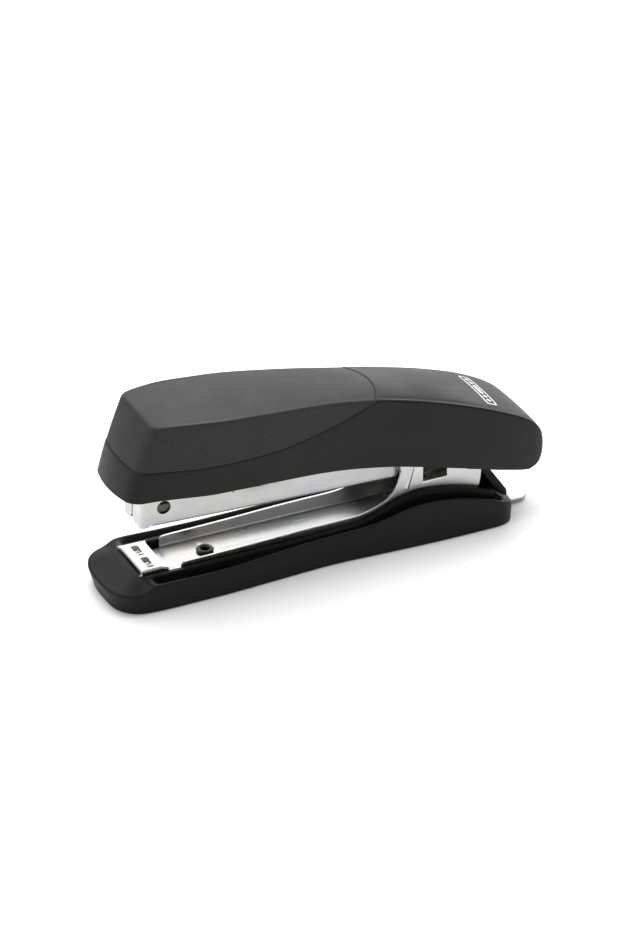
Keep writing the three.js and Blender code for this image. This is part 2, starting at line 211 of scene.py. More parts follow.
def block(low, high, radius=0.0):
    """A block from its lowest to its highest corner."""
    bm = bmesh.new()
    low, high = Vector(low), Vector(high)
    bmesh.ops.create_cube(bm, size=1)
    bmesh.ops.scale(bm, vec=high - low, verts=bm.verts)
    bmesh.ops.translate(bm, vec=(low + high) / 2, verts=bm.verts)
    return rounded(bm, radius) if radius else bm


def cylinder(radius, start, end):
    """A closed cylinder between two points."""
    bm = bmesh.new()
    start, end = Vector(start), Vector(end)
    turn = (end - start).to_track_quat("Z", "Y").to_matrix().to_4x4()
    place = Matrix.Translation((start + end) / 2) @ turn
    bmesh.ops.create_cone(bm, cap_ends=True, segments=40, radius1=radius, radius2=radius,
                          depth=(end - start).length, matrix=place)
    return bm


def slab(outline, low, high, radius=0.0, across="Y"):
    """A flat outline made thick: (x, z) points across Y, or (x, y) points up Z."""
    bm = bmesh.new()
    lift = (lambda x, z: (x, low, z)) if across == "Y" else (lambda x, y: (x, y, low))
    step = Vector((0, high - low, 0)) if across == "Y" else Vector((0, 0, high - low))
    face = bm.faces.new([bm.verts.new(lift(*p)) for p in outline])
    made = bmesh.ops.extrude_face_region(bm, geom=[face])
    bmesh.ops.translate(bm, vec=step, verts=[v for v in made["geom"] if isinstance(v, bmesh.types.BMVert)])
    bmesh.ops.recalc_face_normals(bm, faces=bm.faces)
    return rounded(bm, radius) if radius else bm


def turned(profile, centre, axis="Z", steps=48):
    """A closed (radius, height) profile spun round an axis through centre."""
    bm = bmesh.new()
    verts = [bm.verts.new((r, 0, h)) for r, h in profile]
    edges = [bm.edges.new(pair) for pair in zip(verts, verts[1:] + verts[:1])]
    bmesh.ops.spin(bm, geom=verts + edges, cent=(0, 0, 0), axis=(0, 0, 1), angle=math.tau,
                   steps=steps, use_merge=True)
    if axis == "Y":
        bmesh.ops.rotate(bm, cent=(0, 0, 0), matrix=Matrix.Rotation(-math.pi / 2, 3, "X"), verts=bm.verts)
    bmesh.ops.translate(bm, vec=centre, verts=bm.verts)
    bmesh.ops.recalc_face_normals(bm, faces=bm.faces)
    return bm


def joined(*parts):
    """Several meshes in one."""
    result = bmesh.new()
    for part in parts:
        mesh = bpy.data.meshes.new("part")
        part.to_mesh(mesh)
        part.free()
        result.from_mesh(mesh)
        bpy.data.meshes.remove(mesh)
    return result


def piece(name, bm, body, finish, stands_for=(), place=Matrix()):
    """Makes the finished object in metres, smooth but for its sharp edges, riding on its body."""
    bm.transform(Matrix.Scale(MM, 4) @ place)
    made = shaped(name, bm)
    mesh = made.data
    mesh.polygons.foreach_set("use_smooth", [True] * len(mesh.polygons))
    mesh.set_sharp_from_angle(angle=SMOOTH_BELOW)
    mesh.materials.append(finish)
    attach(made, body)
    if stands_for:
        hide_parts(*stands_for)
    return made


# ---------- cover outlines ----------
COVER_WALL = 1.2
PANEL_WALL = 1.0
CREASE_RADIUS = 1.3
SEAM_GAP = 0.04             # half the gap between the cover and its panel
LEDGE_DROP = 1.35           # the cover carries the panel's edge on a ledge this far below its surface
LEDGE_REACH = 2.4
PANEL_SINK = 0.2            # the panel lies this much lower than the cover
PANEL_EDGE = 0.05           # how far the panel's surface falls away at the seam
EDGE_ROUND = 0.35           # width of the rounding along the seam
SEAM_TIP_X = 16.3           # where the seam on the side meets the crease
SEAM_BOW = 3.2              # how far back the seam bows on the lid
ROUND_ROWS = 5              # faces across the crease's rounding
NOSE_BOTTOM, NOSE_TOP = 42.6, 69.3

crease = Route(
    (-66.8, 69.3), (-58, 69.15), (-51, 68.7), (-41, 67.9), (-31, 67.2), (-21, 66.1), (-11, 64.9),
    (-1, 63.5), (9, 61.7), (19, 59.7), (29, 57.2), (39, 54.4), (49, 51.2), (59, 47.5), (65, 44.9),
    (71, 41.9), (76, 38.7), (79.5, 35.1), (81.5, 31.0), (82.0, 26.9), (81.5, 23.9), (80.2, 21.6),
    (78.2, 20.3), (75.4, 19.8))
crease_z = Line((-66.8, 69.3), (-51, 68.7), (-31, 67.2), (-11, 64.9), (9, 61.7), (29, 57.2),
                (49, 51.2), (65, 44.9), (76, 38.7), (82.0, 26.9))
bottom_z = Line((-77.9, 42.6), (-67, 41.6), (-51, 41.0), (-36, 40.6), (-14, 39), (0, 37.4), (13, 35.2),
                (25, 32.7), (40, 28.9), (56, 24.8), (62, 23.1), (68, 21.5), (72, 20.4), (75.4, 19.8))
top_width = Line((-72, 13.4), (-66.8, 14.2), (-63, 15.1), (-57, 16.3), (-51, 17.1), (-41, 17.6), (-31, 17.5),
                 (-21, 16.8), (-11, 15.7), (-1, 14.7), (9, 14.0), (19, 13.7), (29, 13.9), (39, 14.5),
                 (49, 15.2), (59, 15.8), (66, 15.9), (72, 15.7), (76, 15.2), (79, 14.5), (81, 13.6),
                 (82.3, 12.6))
bottom_width = Line((-75.2, 15.5), (-62, 16.8), (-50, 17.6), (-36, 17.9), (-22, 17.4), (-8, 16.3), (6, 15.4),
                    (20, 15.1), (34, 15.3), (48, 15.9), (62, 16.2), (72, 15.7), (76, 15.2), (79, 14.5),
                    (81, 13.6), (82.3, 12.6))
seam_z = Line((-77, 54.2), (-65, 52.9), (-51, 51.7), (-37, 51.3), (-22, 51.6), (-14, 52.3), (-6, 53.5),
              (2, 55.1), (9.5, 57.3), (16.3, 59.7))
nose_x = Line((42.6, -77.9), (48, -76.4), (54, -74.3), (60, -72), (66, -69.2), (69.3, -67.6))
corner_x = Line((42.6, -75.2), (54, -72.3), (62, -69.6), (69.3, -66.8))
corner_round = Line((42.6, 4.2), (69.3, 3.2))
dish_z = Line((-30, 40), (-18, 44.5), (-4, 46.6), (12, 46.2), (26, 42.8), (38, 38), (50, 30))


def side_width(x, z):
    """Half the cover's width at a point on its side, a little hollow below an arched line."""
    top, bottom = top_width(x), bottom_width(x)
    share = (crease_z(x) - z) / (crease_z(x) - bottom_z(x)) if x < 74 else 0
    hollow = 0.3 * smooth((dish_z(x) - z) / 1.2) if -30 < x < 50 else 0
    return mix(top, bottom, min(max(share, 0), 1)) - hollow


def crown(length):
    """How far the lid's middle stands proud of the crease."""
    return mix(0.55, 1.5, smooth(length / 30)) * mix(1, 0.2, smooth((crease.first(length) - 40) / 38))


class CoverPlan:
    """Where the cover's rings of points lie. Stations run from the nose's middle, round the corner and
    along the side to the end of the tail. The seam's tip is the station where the seam meets the crease."""

    NOSE, CORNER, FRONT, REAR = 10, 6, 48, 52
    MITRE = NOSE + CORNER // 2          # the middle of the corner, where the lid's rows turn
    SIDE = NOSE + CORNER                # the first station of the side

    def __init__(self, tip_shift):
        self.tip = self.SIDE + self.FRONT
        self.last = self.tip + self.REAR
        self.tip_length = crease.reach(SEAM_TIP_X) + tip_shift

    def nose(self, station, z, inset):
        """A point on the nose or its corner, at a height."""
        radius = corner_round(z) - inset
        middle = nose_x(z) + inset
        sharp = corner_x(z) + inset
        width = side_width(corner_x(z), z) - inset
        start_y = width - radius
        start_x = mix(middle, sharp, (start_y / width) ** 2)
        if station <= self.NOSE:
            share = station / self.NOSE
            return Vector((mix(middle, start_x, share ** 2), start_y * share, z))
        slope = 2 * (sharp - middle) * start_y / width ** 2
        corner = Vector((start_x + slope * radius, width, z))
        end_x = corner.x + radius
        end = Vector((end_x, side_width(end_x, z) - inset, z))
        start = Vector((start_x, start_y, z))
        hold = 0.55
        curve = interpolate_bezier(start, start.lerp(corner, hold), end.lerp(corner, hold), end,
                                   self.CORNER + 1)
        return curve[station - self.NOSE]

    def crease_length(self, station):
        """How far along the crease a side station's top lies."""
        start = corner_x(NOSE_TOP) + corner_round(NOSE_TOP) - crease(0)[0]
        along = station - self.SIDE
        close = (self.tip_length - EDGE_ROUND, self.tip_length - EDGE_ROUND / 3)
        if station > self.tip:
            step = station - self.tip
            if step < 3:
                return self.tip_length + EDGE_ROUND * (1 / 3, 1)[step - 1]
            return mix(self.tip_length + 1.4, crease.length, ((step - 3) / (self.REAR - 3)) ** 0.97)
        if along > self.FRONT - 3:
            return (*close, self.tip_length)[along - self.FRONT + 2]
        return mix(start, self.tip_length - 1.4, along / (self.FRONT - 3))

    def bottom_x(self, station):
        """Where a side station's line meets the cover's lower edge."""
        start = corner_x(NOSE_BOTTOM) + corner_round(NOSE_BOTTOM)
        along = station - self.SIDE
        if along <= self.FRONT:
            return mix(start, 12, along / self.FRONT)
        return mix(12, crease(crease.length)[0], (along - self.FRONT) / self.REAR)

    def side(self, station, share, inset=0.0):
        """A point of the skirt: share 0 on the lower edge and 1 on the crease."""
        if station <= self.SIDE:
            return self.nose(station, mix(NOSE_BOTTOM, NOSE_TOP, share), inset)
        low_x = self.bottom_x(station)
        top_x, top_z = crease(self.crease_length(station))
        x = mix(low_x, top_x, share)
        z = mix(bottom_z(low_x), top_z, share)
        near_nose = 1 - smooth((station - self.SIDE) / 16)
        level = mix(NOSE_BOTTOM, NOSE_TOP, share)
        straight = mix(corner_x(NOSE_BOTTOM), corner_x(NOSE_TOP), share)
        round_line = corner_round(level) - mix(corner_round(NOSE_BOTTOM), corner_round(NOSE_TOP), share)
        x += (corner_x(level) - straight + round_line) * near_nose
        z = mix(z, level, near_nose)
        return Vector((x, side_width(x, z) - inset, z))

    def height(self, station):
        return (self.side(station, 1) - self.side(station, 0)).length

    def shoulder(self, station):
        """The share at which the crease's rounding begins."""
        return max(1 - CREASE_RADIUS / max(self.height(station), 0.01), 0)

    def seam(self, station):
        """The share at which the seam crosses a station."""
        if station >= self.tip:
            return self.shoulder(station)
        low, high = 0.0, 1.0
        for _ in range(24):
            middle = (low + high) / 2
            point = self.side(station, middle)
            low, high = (middle, high) if point.z < seam_z(point.x) else (low, middle)
        return min(low, self.shoulder(station))

    def lid_edge(self, station):
        """The lid's border: its length along the crease, and its half width."""
        if station <= self.SIDE:
            point = self.nose(station, NOSE_TOP, CREASE_RADIUS)
            return point.x - crease(0)[0], point.y
        length = self.crease_length(station)
        return length, top_width(crease(length)[0]) - CREASE_RADIUS

    def lid(self, row, column, sink=0.0, shift=0.0):
        """A point of the lid. Column 0 is the middle line, and row 0 lies along the nose."""
        length, width = self.lid_edge(self.MITRE + row)
        nose_length, nose_width = self.lid_edge(self.MITRE)
        front_length, front_width = self.lid_edge(column)
        out = front_width / nose_width
        reach = smooth((length - nose_length) / 25)
        bow = SEAM_BOW * (1 - out * out) * math.exp(-((length - self.tip_length) / 14) ** 2)
        at = length + (front_length - nose_length) * (1 - reach) + bow + shift
        x, z = crease(at)
        normal = crease.normal(at)
        valley = 0.14 * smooth((out - 0.86) / 0.14) * smooth((at - self.tip_length) / 3)
        lift = crown(at) * (1 - out * out) - sink - valley
        return Vector((x + normal[0] * lift, width * out, z + normal[1] * lift))

    def shoulder_point(self, station, share, sink=0.0):
        """A point of the rounding between the skirt (share 0) and the lid (share 1)."""
        start = self.side(station, self.shoulder(station), sink)
        corner = self.side(station, 1, sink)
        end = self.lid(max(station - self.MITRE, 0), min(station, self.MITRE), sink)
        if station <= self.SIDE:
            corner.z = mix(corner.z, end.z, 0.5)
        hold = 0.62 if station < self.tip else mix(0.62, 0.8, smooth((station - self.tip) / 6))
        first, second = start.lerp(corner, hold), end.lerp(corner, hold)
        return cubic(start, first, second, end, share)


def cubic(a, b, c, d, t):
    """A point of a cubic curve."""
    s = 1 - t
    return a * s ** 3 + b * 3 * s * s * t + c * 3 * s * t * t + d * t ** 3


def edge_drop(distance, depth=0.24):
    """How far the surface falls away beside the seam."""
    return depth * max(0.0, 1 - distance / EDGE_ROUND) ** 2


def cover_skin():
    """The black cover: everything below the seam and behind it."""
    plan = CoverPlan(SEAM_GAP)
    bm = bmesh.new()
    body_rows = 9
    lip = (1.0, EDGE_ROUND, EDGE_ROUND / 2, EDGE_ROUND / 6, 0)
    ledge = ((0, LEDGE_DROP), (LEDGE_REACH, LEDGE_DROP))
    rows = body_rows + len(lip) + len(ledge) - 1

    def skirt(station, row):
        height = plan.height(station)
        top = plan.seam(station)
        near_tip = smooth((plan.tip - station) / 4)
        if height < 0.05:
            return plan.side(station, 0)
        top -= SEAM_GAP / height * near_tip
        if row >= body_rows + len(lip):
            up, drop = ledge[row - body_rows - len(lip)]
            inside = min(top + up / height * near_tip, max(plan.shoulder(station) - 0.4 / height, top))
            return plan.side(station, inside, drop * near_tip)
        if row >= body_rows:
            back = lip[row - body_rows]
            return plan.side(station, max(top - back / height, 0), edge_drop(back) * near_tip)
        return plan.side(station, max(top - lip[0] / height, 0) * row / body_rows)

    grid(bm, plan.last, rows, skirt)

    def shoulder(column, row):
        station = plan.tip + column
        drop = edge_drop(plan.crease_length(station) - plan.tip_length)
        return plan.shoulder_point(station, row / ROUND_ROWS, drop)

    grid(bm, plan.REAR, ROUND_ROWS, shoulder)
    first_row = plan.tip - plan.MITRE

    def lid(row, column):
        if row < len(ledge):
            back, sink = ledge[len(ledge) - 1 - row]
            inside = smooth((plan.MITRE - column) / 4)
            return plan.lid(first_row, column, mix(edge_drop(0), sink, inside), -back * inside)
        row -= len(ledge)
        drop = edge_drop(plan.crease_length(plan.tip + row) - plan.tip_length)
        return plan.lid(first_row + row, column, drop)

    grid(bm, plan.REAR + len(ledge), plan.MITRE, lid)
    whole(bm)
    return bm


def panel_skin():
    """The grey panel: the front of the lid, and the sides and nose above the seam."""
    plan = CoverPlan(-SEAM_GAP)
    bm = bmesh.new()
    lip = (0, EDGE_ROUND / 6, EDGE_ROUND / 2, EDGE_ROUND, 1.0)
    rows = 7 + len(lip)

    def skirt(station, row):
        height = plan.height(station)
        shoulder = plan.shoulder(station)
        low = min(plan.seam(station) + SEAM_GAP / height, shoulder)
        room = (shoulder - low) * height
        spread = min(1.0, room / 2.0)
        if row < len(lip):
            back = lip[row] * spread
            return plan.side(station, low + back / height, PANEL_SINK + edge_drop(back, PANEL_EDGE) * spread)
        low += lip[-1] * spread / height
        share = (row - len(lip) + 1) / (rows - len(lip) + 1)
        return plan.side(station, mix(low, shoulder, share), PANEL_SINK)

    grid(bm, plan.tip, rows, skirt)

    def sink(station):
        if station <= plan.tip - 4:
            return PANEL_SINK
        return PANEL_SINK + edge_drop(plan.tip_length - plan.crease_length(station), PANEL_EDGE)

    def shoulder(station, row):
        return plan.shoulder_point(station, row / ROUND_ROWS, sink(station))

    grid(bm, plan.tip, ROUND_ROWS, shoulder)

    def lid(row, column):
        return plan.lid(row, column, sink(plan.MITRE + row))

    grid(bm, plan.tip - plan.MITRE, plan.MITRE, lid)
    whole(bm)
    return bm


def cover_rib(x):
    """A stiffening rib across the inside of the cover, notched over the pressed arm."""
    arm_half, clear, thick = 9.2, 0.6, 1.4
    under_panel = x < SEAM_TIP_X
    bm = bmesh.new()

    def rib(column, row):
        over_arm = column <= 2
        share = (column / 2) if over_arm else (column - 3) / 5
        low = arm_top(x) + (clear if over_arm else -3.0)
        reach = top_width(x) - 1.5
        y = arm_half * share if over_arm else mix(arm_half + 0.02, reach, share)
        high = crease_z(x) - (1.6 if under_panel else 0.9) + 0.8 * (1 - (y / reach) ** 2)
        high -= 1.4 * max(y / reach - 0.88, 0) / 0.12
        z = mix(low, high, row / 4)
        if column == 8:
            wall = 1.45 if under_panel and z > seam_z(x) - 1.5 else 0.8
            y = side_width(x, z) - wall
        return Vector((x, y, z))

    grid(bm, 8, 4, rib)
    whole(bm)
    return worked(bm, "SOLIDIFY", thickness=thick, offset=0)


# ---------- base moulding ----------
rim_plan = Route(
    (-82.5, 0), (-82.4, 5), (-81.7, 9.4), (-79.9, 13.4), (-76.9, 16.3), (-73.0, 17.7), (-66, 17.95),
    (-58, 17.9), (-42, 17.7), (-22, 16.6), (0, 15.6), (20, 16.5), (40, 17.25), (60, 17.2), (65.5, 16.6),
    (69.2, 14.2), (70.3, 10), (70.35, 5), (70.3, 0))
flare = Line((-82.5, 1.8), (-77, 1.9), (-70, 1.2), (-60, 0.75), (40, 0.7), (64, 0.6), (70.3, 0.25))
rim_z = Line((-82.5, 7.6), (-80, 8.3), (-75, 8.5), (-73, 8.7), (-71, 9.5), (-69.3, 10.4), (-67.5, 10.8),
             (-62, 10.8), (-51, 10.5), (-39, 10.5), (-28, 11.0), (-14, 11.6), (-4, 11.8), (6, 12.0),
             (13, 12.6), (19.4, 14.0), (25, 15.6), (30.5, 16.5), (36, 16.8), (41.5, 16.5), (47, 15.7),
             (52.7, 14.4), (58.4, 12.6), (64, 10.2), (70.4, 7.3))
lip_z = Line((-70.5, 11.2), (-45, 11.2), (-18, 11.2), (0, 11.6), (12, 12.4), (19, 14.7), (25.6, 17.4),
             (28.4, 18.2), (34, 18.8), (39.5, 18.6), (45, 17.9), (50.7, 16.7), (57, 14.8), (62, 13.0),
             (66, 10.4), (70.4, 7.6))
POCKET = {"front": -70.4, "rear": 62.0, "half": 10.25, "floor": 7.5}
UNDER_DECK = 5.4            # height of the base's hollow
GROOVE_DEPTH = 3.2
RIM_THICK = 1.15
LIP_THICK = 2.05


def base_moulding():
    """The base: flared wall, rounded rim, groove, inner lip, the channel's pocket and the back stop."""
    bm = bmesh.new()
    columns = 150
    front_end, rear_start = rim_plan.reach(-73), rim_plan.reach(66)
    half = POCKET["half"]

    def station(column):
        """The rim's point, the way outwards there, and the pocket's point that faces it."""
        length = rim_plan.length * column / columns
        x, y = rim_plan(length)
        nx, ny = rim_plan.normal(length)
        if column in (0, columns):
            y, ny = 0.0, 0.0
        if length < front_end:
            inner = (POCKET["front"], half * length / front_end)
        elif length < rear_start:
            inner = (min(max(x, POCKET["front"]), POCKET["rear"]), half)
        else:
            inner = (POCKET["rear"], half * (rim_plan.length - length) / (rim_plan.length - rear_start))
        return Vector((x, y, 0)), Vector((nx, ny, 0)), Vector((*inner, 0))

    def ring_points(column):
        """One cross-section of the base, from under its deck, round the outer wall to the pocket's floor."""
        rim, out, pocket = station(column)
        foot = rim - out * flare(rim.x)
        across = pocket - rim
        wide = across.length
        inward = across / wide
        grooved = smooth((rim.x + 68.5) / 4.5) * (1 - smooth((rim.x - 62) / 6))
        top = rim_z(rim.x)
        lip = lip_z(min(pocket.x, rim.x) if rim.x > 0 else max(pocket.x, rim.x))
        floor_z = top - GROOVE_DEPTH

        def deck(distance):
            return mix(top, lip, smooth(distance / wide) * 0.35 + 0.65 * distance / wide)

        def across_at(distance, groove_z):
            point = rim + inward * distance
            point.z = mix(deck(distance), groove_z, grooved)
            return point

        def wall(share, back, z):
            point = foot.lerp(rim, share) - out * back
            point.z = z
            return point

        points = [Vector((min(max(rim.x, -78), 66), 0, UNDER_DECK))]
        under = [(0, 3.4, UNDER_DECK), (0, 2.0, UNDER_DECK - 0.5), (0, 1.7, 0.3), (0, 1.4, 0)]
        foot_round = [(0, 0.75, 0), (0, 0.35, 0.1), (0, 0.1, 0.35), (0.05, 0, 0.85)]
        flank = [(share, 0, mix(0.85, top - 0.7, share)) for share in (0.25, 0.5, 0.75)]
        rim_round = [(1, 0, top - 0.65), (1, 0.05, top - 0.35), (1, 0.2, top - 0.12), (1, 0.5, top)]
        points += [wall(*p) for p in under + foot_round + flank + rim_round]
        edge = wide - LIP_THICK
        rim_inside = [(0.85, top - 0.05), (1.05, top - 0.15), (RIM_THICK + 0.2, top - 0.4)]
        groove = [(2.2, top - 1.35), (3.0, floor_z + 0.55), (3.4, floor_z + 0.2)]
        groove += [(mix(3.4, edge - 0.7, share), floor_z) for share in (0.2, 0.5, 0.8)]
        groove += [(edge - 0.5, floor_z), (edge - 0.15, floor_z + 0.4)]
        lip_outside = [(edge, lip - 0.7), (edge + 0.1, lip - 0.3), (edge + 0.4, lip)]
        lip_inside = [(wide - 0.4, lip), (wide - 0.1, lip - 0.1), (wide, lip - 0.4)]
        points += [across_at(*p) for p in rim_inside + groove + lip_outside + lip_inside]
        points[-1].z = lip - 0.4
        points[-2].z = lip - 0.1
        points.append(Vector((pocket.x, pocket.y, POCKET["floor"])))
        points.append(Vector((pocket.x, 0, POCKET["floor"])))
        return points

    rings = [ring_points(column) for column in range(columns + 1)]
    grid(bm, columns, len(rings[0]) - 1, lambda column, row: rings[column][row])
    whole(bm)
    stop = slab([(58.4, 21.6), (59.2, 22.4), (60.4, 22.7), (61.3, 22.2), (70.1, 9.4), (70.3, 8.4), (70.3, 5),
                 (66.5, 5), (66.4, 9.2)], -8.5, 8.5, 0.35)
    return joined(bm, stop)


# ---------- channel ----------
CHANNEL = {"half": 9.9, "under": 7.85, "front": -60.2, "wall_front": -55.3, "rear": 57.6}
BEND = 1.5
EYELETS = (-42.2, 44.0)
channel_edge = Route(
    (-55.3, 9.35), (-55.3, 11.2), (-54.9, 12.1), (-54, 12.5), (-42, 12.75), (-30, 13.0), (-19, 13.35),
    (-8, 13.65), (2, 13.75), (8, 13.8), (13, 14.1), (18, 15.4), (21.4, 16.8), (24, 18.7), (26, 21.2),
    (27.2, 24.2), (27.6, 27.5), (27.9, 30.5), (31, 34.5), (40, 36.6), (50, 37.7), (54, 38), (57, 37),
    (58.8, 34.5), (59.2, 31), (59.2, 26), (59.1, 21), (58.7, 17), (57.9, 13), (57.6, 9.35))


def channel_pressing():
    """The bottom channel: a floor bent up into low walls that rise into the two pivot ears."""
    bm = bmesh.new()
    columns = 132
    ties = Line((0, -55.3), (channel_edge.reach(-54), -54), (channel_edge.reach(18), 17.5),
                (channel_edge.reach(27.2), 25), (channel_edge.reach(31), 30), (channel_edge.reach(50), 42),
                (channel_edge.length - 24, 50), (channel_edge.length - 14, 54.5),
                (channel_edge.length - 4, 57), (channel_edge.length, 57.6))
    half, under = CHANNEL["half"], CHANNEL["under"]
    bend_rows, wall_rows = 5, 12

    def wall(column, row):
        length = channel_edge.length * column / columns
        low_x = min(ties(length), CHANNEL["rear"])
        top_x, top_z = channel_edge(length)
        if row == 0:
            return Vector((low_x, 0, under))
        if row <= bend_rows + 1:
            turn = math.pi / 2 * (row - 1) / bend_rows
            y = half - BEND + BEND * math.sin(turn)
            return Vector((low_x, y, under + BEND - BEND * math.cos(turn)))
        share = (row - bend_rows - 1) / wall_rows
        z = mix(under + BEND, max(top_z, under + BEND), share)
        return Vector((mix(low_x, top_x, share), half, z))

    grid(bm, columns, bend_rows + 1 + wall_rows, wall)

    def front_floor(column, row):
        x = mix(CHANNEL["front"], CHANNEL["wall_front"], column / 4)
        return Vector((x, (half - BEND) * row, under))

    grid(bm, 4, 1, front_floor)
    whole(bm)
    sheet = thickened(bm, SHEET)
    windows = [block((36.3, side * 9.5 - 1.5, 21.6), (45.7, side * 9.5 + 1.5, 27.6)) for side in (1, -1)]
    holes = [cylinder(1.55, (x, 0, 5), (x, 0, 12)) for x in EYELETS]
    sheet = rounded(cut(sheet, *windows, *holes), 0.14, 60)
    tab = block((34, -3, 8.3), (34.8, 3, 22.4), 0.2)
    return joined(sheet, tab, bead(1), bead(-1))


def bead(side):
    """The stiffening bead pressed outwards up each ear, round at its lower end."""
    low, high = Vector((30.1, 0, 20.6)), Vector((33.0, 0, 31.5))
    across = Vector((high.z - low.z, 0, low.x - high.x)).normalized()
    along = (high - low).normalized()
    half, proud = 0.95, 0.5
    bm = bmesh.new()

    def place(column, row):
        reach = mix(-half, (high - low).length, column / 40)
        out = mix(-1, 1, row / 12)
        width = half if reach >= 0 else math.sqrt(max(half * half - reach * reach, 0))
        rise = math.cos(out * math.pi / 2) * proud * (width / half) ** 0.7
        point = low + along * reach + across * out * width
        return Vector((point.x, side * (CHANNEL["half"] - 0.02 + rise), point.z))

    grid(bm, 40, 12, place)
    bmesh.ops.remove_doubles(bm, verts=bm.verts, dist=0.002)
    bmesh.ops.recalc_face_normals(bm, faces=bm.faces)
    if bm.faces[len(bm.faces) // 2].normal.y * side < 0:
        bmesh.ops.reverse_faces(bm, faces=bm.faces)
    return bm


def eyelet(x):
    """A rolled eyelet that clamps the channel to the base."""
    top, under = 8.65, UNDER_DECK
    profile = [(1.5, under - 1.1), (2.2, under - 1.25), (3.0, under - 1.0), (3.05, under - 0.5),
               (2.5, under - 0.35), (1.95, under - 0.3), (1.95, top + 0.3), (2.6, top + 0.32),
               (3.05, top + 0.45), (3.1, top + 0.75), (2.8, top + 1.05), (2.3, top + 1.2), (1.8, top + 1.05),
               (1.55, top + 0.7), (1.5, top)]
    return turned(profile, (x, 0, 0))


# ---------- anvil ----------
ANVIL = {"front": -70.0, "rear": -60.6, "half": 9.6, "top": 12.5}


def anvil_pressing():
    """The clinching plate: turned-down edges and two pockets, each a pit that runs up a curved ramp."""
    columns, rows = 56, 116
    bm = bmesh.new()
    front, rear, half, top = (ANVIL[k] for k in ("front", "rear", "half", "top"))
    round_edge, skirt = 0.5, 2.2
    flat_x = (rear - front) - 2 * round_edge
    flat_y = 2 * half - 2 * round_edge

    def fold(distance):
        """How far in and how far down a point lies that is this far from the plate's flat part."""
        turn = min(distance / round_edge, math.pi / 2)
        straight = max(distance - round_edge * math.pi / 2, 0)
        return round_edge * math.sin(turn), round_edge * (1 - math.cos(turn)) + straight

    def pocket(x, y):
        """How far the plate rises over its flat top, or falls below it, in the two pockets."""
        middle_x, ramp = -65.6, 0.62
        for low, high in ((1.1, 7.3), (-7.3, -1.1)):
            across = abs(x - middle_x)
            if across > 1.35 or not low - 0.4 < y < high + 0.3:
                continue
            wall = smooth((1.3 - across) / 0.35)
            along = (y - low) / (high - low)
            depth = -1.3 if along > ramp else mix(0.32, -0.85, smooth(along / ramp))
            ends = smooth((y - low + 0.3) / 0.3) * smooth((high + 0.1 - y) / 0.25)
            return depth * wall * ends
        return 0.0

    def place(column, row):
        u = mix(-skirt, flat_x + skirt, column / columns)
        v = mix(-skirt, flat_y + skirt, row / rows)
        out_x, down_x = fold(max(-u, u - flat_x, 0))
        out_y, down_y = fold(max(-v, v - flat_y, 0))
        x = front + round_edge + min(max(u, 0), flat_x) + math.copysign(out_x, u - flat_x / 2)
        y = -half + round_edge + min(max(v, 0), flat_y) + math.copysign(out_y, v - flat_y / 2)
        down = max(down_x, down_y)
        step = 0.28 * smooth((x - rear + 1.55) / 0.2)
        dip = pocket(x, y) if down == 0 else 0
        x, y = round_corner(x, y)
        return Vector((x, y, top - down - step + dip))

    def round_corner(x, y, radius=2.0):
        """Draws a square corner in to a quarter circle."""
        middle = (front + rear) / 2
        a = abs(x - middle) - (rear - front) / 2 + radius
        b = abs(y) - half + radius
        if a <= 0 or b <= 0:
            return x, y
        reach, turn = max(a, b), math.pi / 4 * min(a, b) / max(a, b)
        new_a, new_b = reach * math.cos(turn), reach * math.sin(turn)
        if b > a:
            new_a, new_b = new_b, new_a
        return x + math.copysign(new_a - a, x - middle), y + math.copysign(new_b - b, y)

    grid(bm, columns, rows, place)
    bmesh.ops.remove_doubles(bm, verts=bm.verts, dist=0.01)
    bmesh.ops.recalc_face_normals(bm, faces=bm.faces)
    return thickened(bm, 0.5)


# ---------- magazine, worked out along itself from the pivot axis ----------
NOSE = -122.75
ROD_Z = -5.6
MAG = {"half": 7.5, "under": -9.0, "top": 3.5, "floor_end": -28.0, "floor_front": -119.6}


